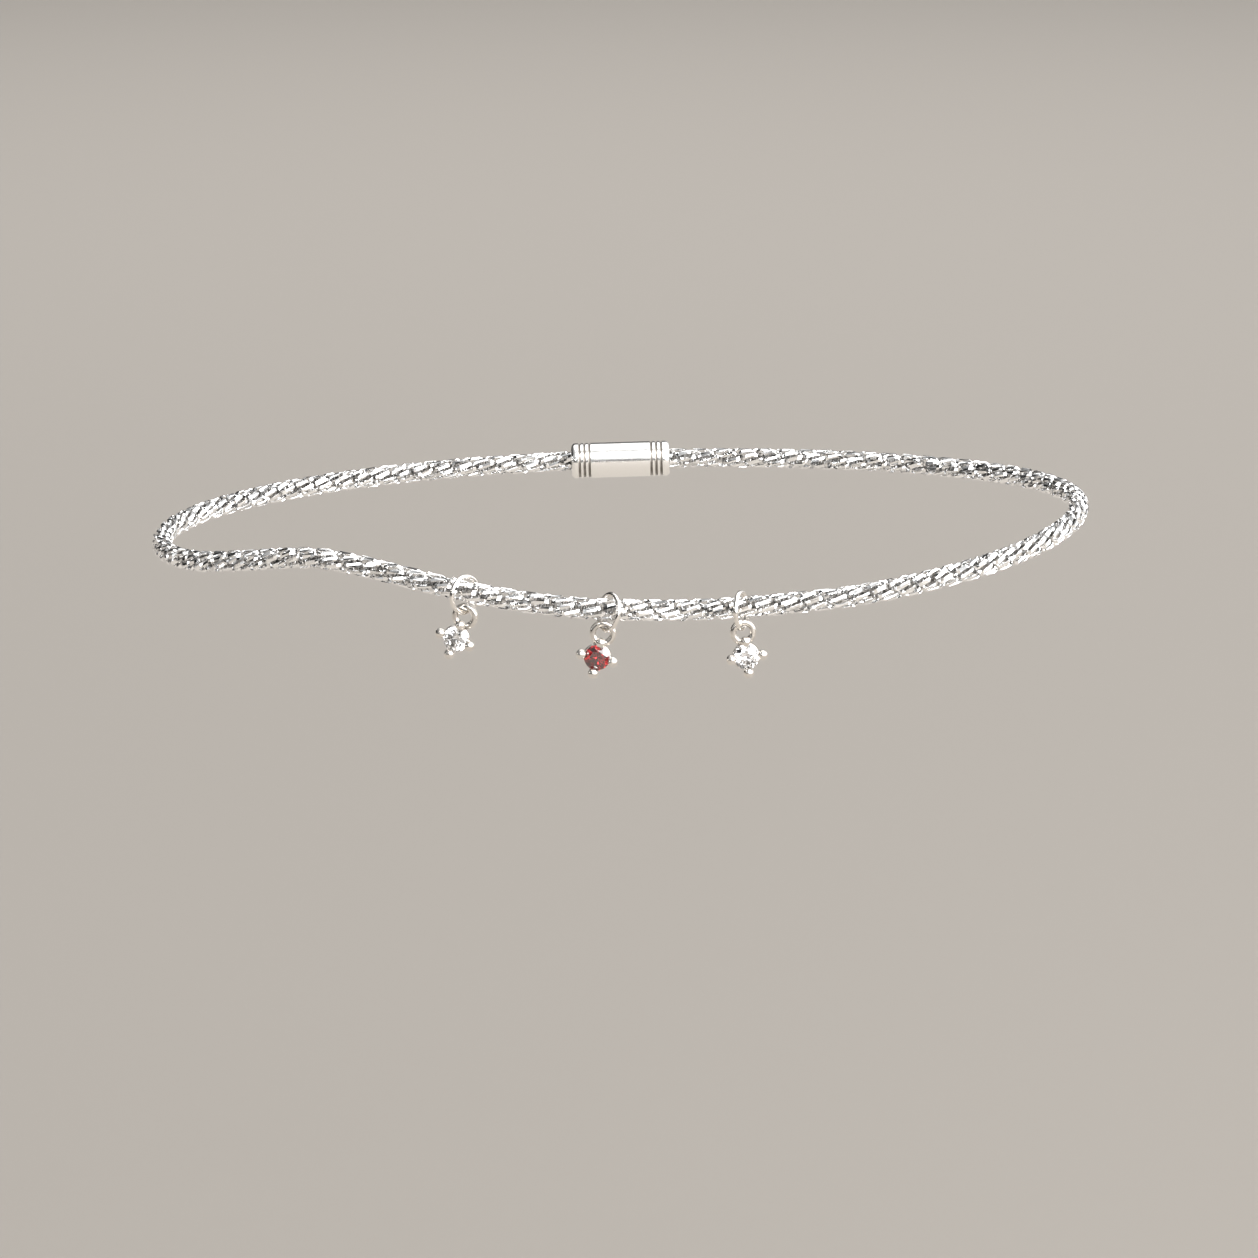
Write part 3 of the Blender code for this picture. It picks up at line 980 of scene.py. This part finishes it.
def make_drop(drop, setting, materials):
    """One drop: the jump ring round the chain, and the setting that hangs on it by its eye."""
    reach = (CHAIN_DIAMETER + JUMP_RING_WIRE) / 2 + CHAIN_GAP
    below = JUMP_RING_RADIUS - reach / math.cos(math.radians(drop.swing))
    hung = chain_frame(drop.along) @ lean_by(drop.swing)
    turned = Matrix.Rotation(math.radians(90 - drop.turn), 4, "Z")
    bm = bmesh.new()
    add_ring(
        bm,
        JUMP_RING_RADIUS,
        JUMP_RING_WIRE,
        JUMP_RING_SEGMENTS,
        WIRE_SIDES,
        opening=JUMP_RING_SLIT,
    )
    bmesh.ops.transform(
        bm, matrix=hung @ Matrix.Translation((0, 0, -below)) @ turned, verts=bm.verts
    )
    sort_by_points(bm)
    ring_mesh = mesh_from(bm, "wire_ring", sharp_angle=RING_SHARP_ANGLE)
    ring_name = f"jump_ring_{drop.name}"
    finish_piece(f"wire_ring_{drop.name}", ring_mesh, materials["wire"], "silver", ring_name)

    lowest = hung @ Vector((0, 0, -below - JUMP_RING_RADIUS))
    upward = hung.to_3x3() @ Vector((0, 0, 1))
    middle = lowest - upward * (EYE_RADIUS * MM - HANG)
    facing = chain_frame(drop.along).to_3x3().to_4x4()
    hanger = Matrix.Translation(middle) @ facing @ lean_by(drop.lean)
    mesh = setting.copy()
    mesh.transform(hanger)
    setting_name = f"setting_{drop.name}"
    finish_piece(f"prong_{setting_name}", mesh, materials["cast"], "silver", setting_name)


def dress_stones(materials):
    """Gives the frame's own stones their looks, as their facets are already cut."""
    for drop in DROPS:
        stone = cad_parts[f"stone_{drop.name}"]
        for slot in stone.material_slots:
            slot.material = materials[drop.stone]


def make_floor():
    """A plain pale floor, which silver mirrors a little brighter than the camera sees it."""
    bm = bmesh.new()
    bmesh.ops.create_grid(bm, x_segments=2, y_segments=2, size=FLOOR_HALF_SIZE)
    bmesh.ops.translate(bm, vec=(0, 0, FLOOR_LEVEL), verts=bm.verts)
    mesh = mesh_from(bm, "floor")
    material, tree, shader = start_material("pale_floor")
    mirrored = add_node(tree, "ShaderNodeLightPath").outputs["Is Glossy Ray"]
    colour = add_node(
        tree,
        "ShaderNodeMix",
        {"Factor": mirrored, 6: FLOOR_SEEN, 7: FLOOR_MIRRORED},
        data_type="RGBA",
    )
    feed(tree, shader, Base_Color=colour.outputs[2], Roughness=0.9)
    mesh.materials.append(material)
    add_object("floor", mesh)


# Square softboxes, each aimed at a point, with its power in watts and its spread in degrees.
Softbox = namedtuple("Softbox", "name place aim size power spread")
SOFTBOXES = (
    Softbox(
        name="key",
        place=(0.45, -0.80, 0.70),
        aim=(0, 0, 0),
        size=1.20,
        power=20.0,
        spread=180,
    ),
    Softbox(
        name="fill_left",
        place=(-0.80, -0.65, 0.45),
        aim=(0, 0, 0),
        size=0.60,
        power=0.7,
        spread=180,
    ),
    Softbox(
        name="side_right",
        place=(1.05, -0.62, 0.60),
        aim=(0, 0, 0),
        size=1.10,
        power=11.0,
        spread=110,
    ),
    Softbox(
        name="top",
        place=(0.0, 0.15, 1.10),
        aim=(0, 0, 0),
        size=0.60,
        power=2.3,
        spread=180,
    ),
    Softbox(
        name="floor_back",
        place=(0.0, 1.00, 0.90),
        aim=(0, 1.00, 0),
        size=1.00,
        power=5.0,
        spread=100,
    ),
    Softbox(
        name="glint_right",
        place=(0.30, -1.00, 0.15),
        aim=(0, 0, 0),
        size=0.08,
        power=0.6,
        spread=180,
    ),
    Softbox(
        name="glint_left",
        place=(-0.25, -1.00, 0.35),
        aim=(0, 0, 0),
        size=0.08,
        power=0.6,
        spread=180,
    ),
    Softbox(
        name="glint_side",
        place=(-1.00, -0.15, 0.30),
        aim=(0, 0, 0),
        size=0.08,
        power=0.6,
        spread=180,
    ),
)


def make_lights():
    for box in SOFTBOXES:
        data = bpy.data.lights.new(box.name, "AREA")
        data.shape = "SQUARE"
        data.size = box.size
        data.energy = box.power
        data.spread = math.radians(box.spread)
        light = add_object(box.name, data)
        towards = Vector(box.aim) - Vector(box.place)
        place = towards.to_track_quat("-Z", "Y").to_matrix().to_4x4()
        place.translation = box.place
        light.matrix_world = place


def make_world():
    """A studio room that is bright above, dark round the horizon, and lit from its right side. To
    the camera it is a plain pale backdrop."""
    world = bpy.data.worlds.new("studio")
    bpy.context.scene.world = world
    world.use_nodes = True
    tree = world.node_tree
    tree.nodes.clear()
    direction = add_node(tree, "ShaderNodeTexCoord").outputs["Generated"]
    parts = add_node(tree, "ShaderNodeSeparateXYZ", {0: direction}).outputs
    height = add_math(tree, "MULTIPLY_ADD", parts["Z"], 0.5, 0.5)
    side = add_math(tree, "MULTIPLY_ADD", parts["X"], ROOM_TILT, ROOM_MIDDLE)
    glow = add_math(tree, "MULTIPLY", add_math(tree, "MAXIMUM", parts["X"], 0.0), ROOM_GLOW)
    ramp = add_node(tree, "ShaderNodeValToRGB", {"Fac": height})
    stops = ramp.color_ramp.elements
    for row in ROOM_SHADES[1:-1]:
        stops.new(row.at).color = (row.shade, row.shade, row.shade, 1.0)
    for stop, row in ((stops[0], ROOM_SHADES[0]), (stops[-1], ROOM_SHADES[-1])):
        stop.color = (row.shade, row.shade, row.shade, 1.0)
    light = add_math(tree, "MULTIPLY_ADD", ramp.outputs["Color"], side, glow)
    room = add_node(tree, "ShaderNodeBackground", {"Color": WHITE, "Strength": light})
    backdrop = add_node(
        tree, "ShaderNodeBackground", {"Color": BACKDROP_SEEN, "Strength": 1.0}
    )
    seen = add_node(tree, "ShaderNodeLightPath").outputs["Is Camera Ray"]
    mix = add_node(
        tree, "ShaderNodeMixShader", {0: seen, 1: room.outputs[0], 2: backdrop.outputs[0]}
    )
    out = tree.nodes.new("ShaderNodeOutputWorld")
    tree.links.new(mix.outputs[0], out.inputs["Surface"])


def main():
    make_camera()
    make_floor()
    make_lights()
    make_world()
    bpy.context.scene.view_settings.view_transform = "Standard"
    groups = {"polish": polish_group(), "tarnish_and_shade": tarnish_and_shade_group(), "facets": facet_group()}
    materials = {
        "links": silver_material(
            "diamond_cut_silver",
            groups,
            bright=(0.96, 0.96, 0.96, 1.0),
            # The dull colour is painted shade towards the chain's axis, partly tarnished silver.
            dull=(0.19, 0.175, 0.16, 1.0),
            roughness=0.08,
            recess=link_recess,
            facet_lean=0.60,
        ),
        "wire": silver_material(
            "wire_silver",
            groups,
            bright=(0.84, 0.81, 0.77, 1.0),
            dull=(0.36, 0.33, 0.30, 1.0),
            roughness=0.06,
            recess=faint_tarnish,
        ),
        "barrel": silver_material(
            "barrel_silver",
            groups,
            bright=(0.96, 0.95, 0.93, 1.0),
            # The dull colour is painted shade in the grooves and inner corners, partly tarnished
            # silver.
            dull=(0.22, 0.20, 0.18, 1.0),
            roughness=0.14,
            recess=cast_recess,
        ),
        "cast": silver_material(
            "cast_silver",
            groups,
            # The warm tint of this bright colour is a painted reflection of warm skin.
            bright=(0.80, 0.765, 0.72, 1.0),
            # The dull colour is painted shade in the inner corners, partly tarnished silver.
            dull=(0.12, 0.105, 0.09, 1.0),
            roughness=0.07,
            recess=cast_recess,
        ),
        "clear": stone_material("clear_stone_look", (0.88, 0.88, 0.89)),
        "red": stone_material("red_stone_look", (0.17, 0.005, 0.006)),
    }
    make_links(materials["links"])
    make_clasp(materials["barrel"])
    setting = cast_setting()
    for drop in DROPS:
        make_drop(drop, setting, materials)
    dress_stones(materials)


main()
